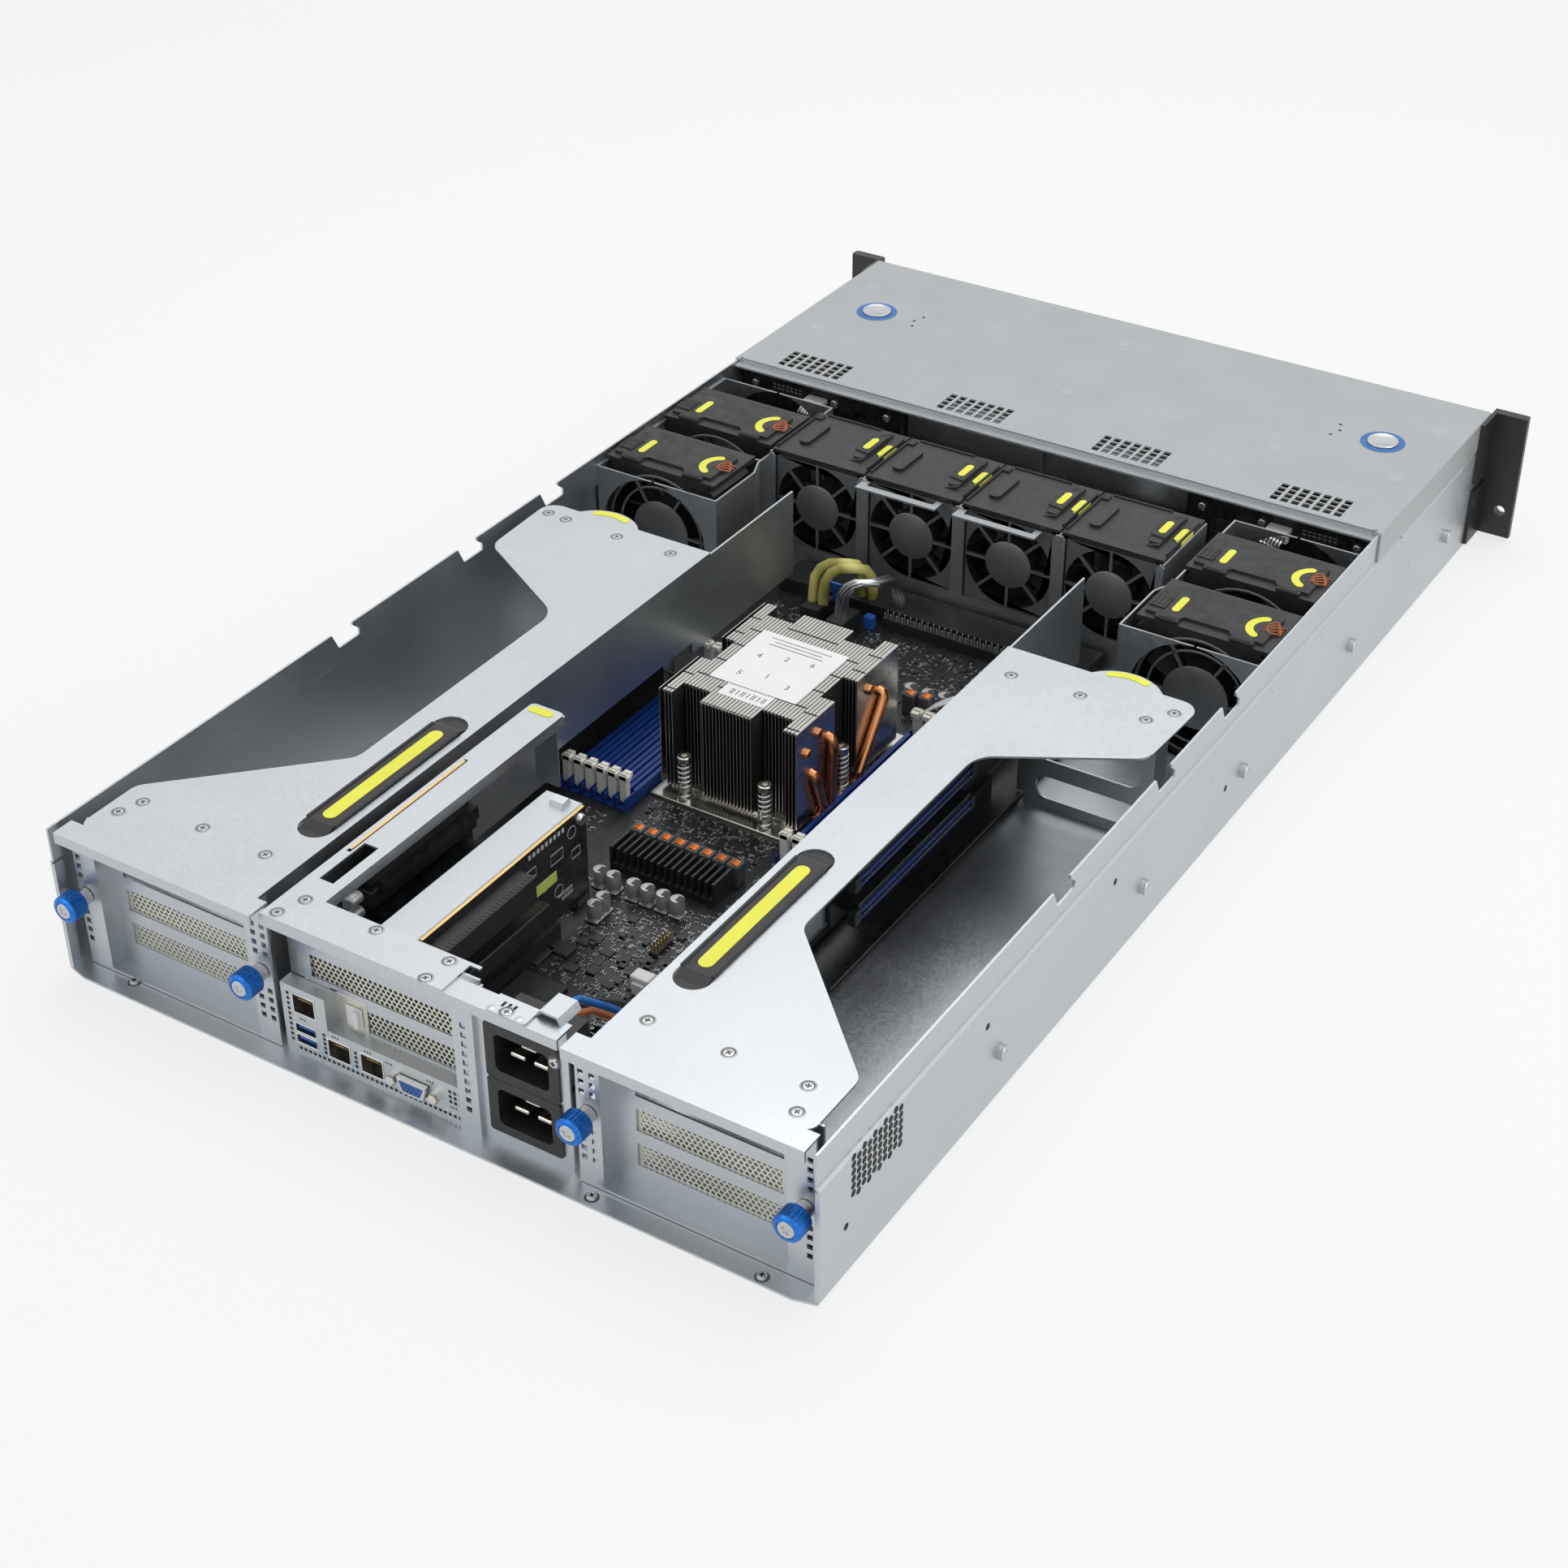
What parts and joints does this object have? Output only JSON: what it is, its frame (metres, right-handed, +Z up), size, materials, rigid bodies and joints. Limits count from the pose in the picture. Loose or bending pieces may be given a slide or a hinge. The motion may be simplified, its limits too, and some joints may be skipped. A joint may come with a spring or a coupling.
{
  "type": "gpu server",
  "caption": "Two-unit rack server, rear cover off: removable riser cages, thumbscrews, fan modules with rotors, drive trays, supplies and a central cooler.",
  "frame": {"origin": "middle of the overall width and depth, on the underside of the tray", "axes": "+Z up, +Y towards the rear with the ports, +X towards the left side of someone who faces the rear"},
  "size_m": [0.4826, 0.8086, 0.089],
  "materials": {
    "galvanised_steel": "galvanised sheet",
    "painted_cover": "satin grey",
    "black_metal": "satin black",
    "port_metal": "plated shells",
    "black_plastic": "moulded",
    "dark_board": "black solder mask",
    "nickel_base": "nickel plated",
    "aluminium_fins": "stamped fins",
    "blue_slots": "moulded",
    "black_sleeve": "smooth sleeve",
    "yellow_sleeve": "braided sleeve",
    "ivory_plastic": "moulded",
    "ivory_cover": "plated sheet",
    "button_metal": "turned",
    "blue_knob": "anodised"
  },
  "bodies": {
    "chassis": {"chassis_tray": "galvanised_steel", "front_cover": "painted_cover", "rack_ears": "black_metal", "rear_frame": "galvanised_steel", "io_panel": "galvanised_steel", "rear_ports": "port_metal", "power_inlets": "black_plastic", "motherboard": "dark_board", "heatsink_base": "nickel_base", "heatsink_fins": "aluminium_fins", "dimm_slots": "blue_slots", "board_parts": "black_plastic", "middle_bracket": "galvanised_steel", "middle_riser_boards": "dark_board", "fan_wall": "galvanised_steel", "side_fan_cages": "galvanised_steel", "front_bays": "galvanised_steel", "backplanes": "dark_board", "power_leads": "black_sleeve", "signal_leads": "yellow_sleeve"},
    "riser_cage_left": {"riser_frame_left": "galvanised_steel", "riser_board_left": "dark_board", "slot_covers_left": "ivory_cover", "riser_handle_left": "black_plastic"},
    "thumbscrew_left_outer": {"thumbscrew_left_outer": "blue_knob"},
    "thumbscrew_left_inner": {"thumbscrew_left_inner": "blue_knob"},
    "cover_button_left": {"cover_button_left": "button_metal"},
    "riser_cage_right": {"riser_frame_right": "galvanised_steel", "riser_board_right": "dark_board", "slot_covers_right": "ivory_cover", "riser_handle_right": "black_plastic"},
    "thumbscrew_right_outer": {"thumbscrew_right_outer": "blue_knob"},
    "thumbscrew_right_inner": {"thumbscrew_right_inner": "blue_knob"},
    "cover_button_right": {"cover_button_right": "button_metal"},
    "dimm_latches_rear": {"dimm_latches_rear": "ivory_plastic"},
    "dimm_latches_front": {"dimm_latches_front": "ivory_plastic"},
    "fan_1": {"fan_1_module": "black_plastic"},
    "fan_1_rotor": {"fan_1_rotor": "black_plastic"},
    "fan_2": {"fan_2_module": "black_plastic"},
    "fan_2_rotor": {"fan_2_rotor": "black_plastic"},
    "fan_3": {"fan_3_module": "black_plastic"},
    "fan_3_rotor": {"fan_3_rotor": "black_plastic"},
    "fan_4": {"fan_4_module": "black_plastic"},
    "fan_4_rotor": {"fan_4_rotor": "black_plastic"},
    "side_fan_left_1": {"side_fan_left_1_module": "black_plastic"},
    "side_fan_left_1_rotor": {"side_fan_left_1_rotor": "black_plastic"},
    "side_fan_left_2": {"side_fan_left_2_module": "black_plastic"},
    "side_fan_left_2_rotor": {"side_fan_left_2_rotor": "black_plastic"},
    "side_fan_right_1": {"side_fan_right_1_module": "black_plastic"},
    "side_fan_right_1_rotor": {"side_fan_right_1_rotor": "black_plastic"},
    "side_fan_right_2": {"side_fan_right_2_module": "black_plastic"},
    "side_fan_right_2_rotor": {"side_fan_right_2_rotor": "black_plastic"},
    "drive_tray_left_1": {"drive_tray_left_1": "black_plastic"},
    "drive_tray_left_2": {"drive_tray_left_2": "black_plastic"},
    "drive_tray_left_3": {"drive_tray_left_3": "black_plastic"},
    "power_supply_left": {"power_supply_left": "galvanised_steel"},
    "drive_tray_right_1": {"drive_tray_right_1": "black_plastic"},
    "drive_tray_right_2": {"drive_tray_right_2": "black_plastic"},
    "drive_tray_right_3": {"drive_tray_right_3": "black_plastic"},
    "power_supply_right": {"power_supply_right": "galvanised_steel"}
  },
  "joints": [
    {"name": "riser_cage_left_lift", "type": "slide", "parent": "chassis", "child": "riser_cage_left", "axis": [0, 0, 1], "range_m": [0, 0.12]},
    {"name": "thumbscrew_left_outer_turn", "type": "hinge", "parent": "riser_cage_left", "child": "thumbscrew_left_outer", "pos_m": [0.207, 0.3925, 0.045], "axis": [0, 1, 0], "continuous": true},
    {"name": "thumbscrew_left_inner_turn", "type": "hinge", "parent": "riser_cage_left", "child": "thumbscrew_left_inner", "pos_m": [0.0945, 0.3925, 0.045], "axis": [0, 1, 0], "continuous": true},
    {"name": "cover_button_left_press", "type": "slide", "parent": "chassis", "child": "cover_button_left", "axis": [0, 0, -1], "range_m": [0, 0.0025], "stiffness_N_per_m": 400},
    {"name": "riser_cage_right_lift", "type": "slide", "parent": "chassis", "child": "riser_cage_right", "axis": [0, 0, 1], "range_m": [0, 0.12]},
    {"name": "thumbscrew_right_outer_turn", "type": "hinge", "parent": "riser_cage_right", "child": "thumbscrew_right_outer", "pos_m": [-0.207, 0.3925, 0.045], "axis": [0, 1, 0], "continuous": true},
    {"name": "thumbscrew_right_inner_turn", "type": "hinge", "parent": "riser_cage_right", "child": "thumbscrew_right_inner", "pos_m": [-0.0945, 0.3925, 0.045], "axis": [0, 1, 0], "continuous": true},
    {"name": "cover_button_right_press", "type": "slide", "parent": "chassis", "child": "cover_button_right", "axis": [0, 0, -1], "range_m": [0, 0.0025], "stiffness_N_per_m": 400},
    {"name": "dimm_latches_rear_open", "type": "hinge", "parent": "chassis", "child": "dimm_latches_rear", "pos_m": [0.00875, 0.1405, 0.00957], "axis": [-1, 0, 0], "range_deg": [0, 28]},
    {"name": "dimm_latches_front_open", "type": "hinge", "parent": "chassis", "child": "dimm_latches_front", "pos_m": [0.00875, 0.0035, 0.00957], "axis": [1, 0, 0], "range_deg": [0, 28]},
    {"name": "fan_1_lift", "type": "slide", "parent": "chassis", "child": "fan_1", "axis": [0, 0, 1], "range_m": [0, 0.08]},
    {"name": "fan_1_spin", "type": "hinge", "parent": "fan_1", "child": "fan_1_rotor", "pos_m": [-0.0931, -0.145, 0.052], "axis": [0, 1, 0], "continuous": true},
    {"name": "fan_2_lift", "type": "slide", "parent": "chassis", "child": "fan_2", "axis": [0, 0, 1], "range_m": [0, 0.08]},
    {"name": "fan_2_spin", "type": "hinge", "parent": "fan_2", "child": "fan_2_rotor", "pos_m": [-0.0278, -0.145, 0.052], "axis": [0, 1, 0], "continuous": true},
    {"name": "fan_3_lift", "type": "slide", "parent": "chassis", "child": "fan_3", "axis": [0, 0, 1], "range_m": [0, 0.08]},
    {"name": "fan_3_spin", "type": "hinge", "parent": "fan_3", "child": "fan_3_rotor", "pos_m": [0.0375, -0.145, 0.052], "axis": [0, 1, 0], "continuous": true},
    {"name": "fan_4_lift", "type": "slide", "parent": "chassis", "child": "fan_4", "axis": [0, 0, 1], "range_m": [0, 0.08]},
    {"name": "fan_4_spin", "type": "hinge", "parent": "fan_4", "child": "fan_4_rotor", "pos_m": [0.1028, -0.145, 0.052], "axis": [0, 1, 0], "continuous": true},
    {"name": "side_fan_left_1_lift", "type": "slide", "parent": "chassis", "child": "side_fan_left_1", "axis": [0, 0, 1], "range_m": [0, 0.1]},
    {"name": "side_fan_left_1_spin", "type": "hinge", "parent": "side_fan_left_1", "child": "side_fan_left_1_rotor", "pos_m": [0.17625, -0.085, 0.0428], "axis": [0, 1, 0], "continuous": true},
    {"name": "side_fan_left_2_lift", "type": "slide", "parent": "chassis", "child": "side_fan_left_2", "axis": [0, 0, 1], "range_m": [0, 0.1]},
    {"name": "side_fan_left_2_spin", "type": "hinge", "parent": "side_fan_left_2", "child": "side_fan_left_2_rotor", "pos_m": [0.17625, -0.147, 0.0428], "axis": [0, 1, 0], "continuous": true},
    {"name": "side_fan_right_1_lift", "type": "slide", "parent": "chassis", "child": "side_fan_right_1", "axis": [0, 0, 1], "range_m": [0, 0.1]},
    {"name": "side_fan_right_1_spin", "type": "hinge", "parent": "side_fan_right_1", "child": "side_fan_right_1_rotor", "pos_m": [-0.17625, -0.085, 0.0428], "axis": [0, 1, 0], "continuous": true},
    {"name": "side_fan_right_2_lift", "type": "slide", "parent": "chassis", "child": "side_fan_right_2", "axis": [0, 0, 1], "range_m": [0, 0.1]},
    {"name": "side_fan_right_2_spin", "type": "hinge", "parent": "side_fan_right_2", "child": "side_fan_right_2_rotor", "pos_m": [-0.17625, -0.147, 0.0428], "axis": [0, 1, 0], "continuous": true},
    {"name": "drive_tray_left_1_slide", "type": "slide", "parent": "chassis", "child": "drive_tray_left_1", "axis": [0, -1, 0], "range_m": [0, 0.17]},
    {"name": "drive_tray_left_2_slide", "type": "slide", "parent": "chassis", "child": "drive_tray_left_2", "axis": [0, -1, 0], "range_m": [0, 0.17]},
    {"name": "drive_tray_left_3_slide", "type": "slide", "parent": "chassis", "child": "drive_tray_left_3", "axis": [0, -1, 0], "range_m": [0, 0.17]},
    {"name": "power_supply_left_slide", "type": "slide", "parent": "chassis", "child": "power_supply_left", "axis": [0, -1, 0], "range_m": [0, 0.18]},
    {"name": "drive_tray_right_1_slide", "type": "slide", "parent": "chassis", "child": "drive_tray_right_1", "axis": [0, -1, 0], "range_m": [0, 0.17]},
    {"name": "drive_tray_right_2_slide", "type": "slide", "parent": "chassis", "child": "drive_tray_right_2", "axis": [0, -1, 0], "range_m": [0, 0.17]},
    {"name": "drive_tray_right_3_slide", "type": "slide", "parent": "chassis", "child": "drive_tray_right_3", "axis": [0, -1, 0], "range_m": [0, 0.17]},
    {"name": "power_supply_right_slide", "type": "slide", "parent": "chassis", "child": "power_supply_right", "axis": [0, -1, 0], "range_m": [0, 0.18]}
  ]
}
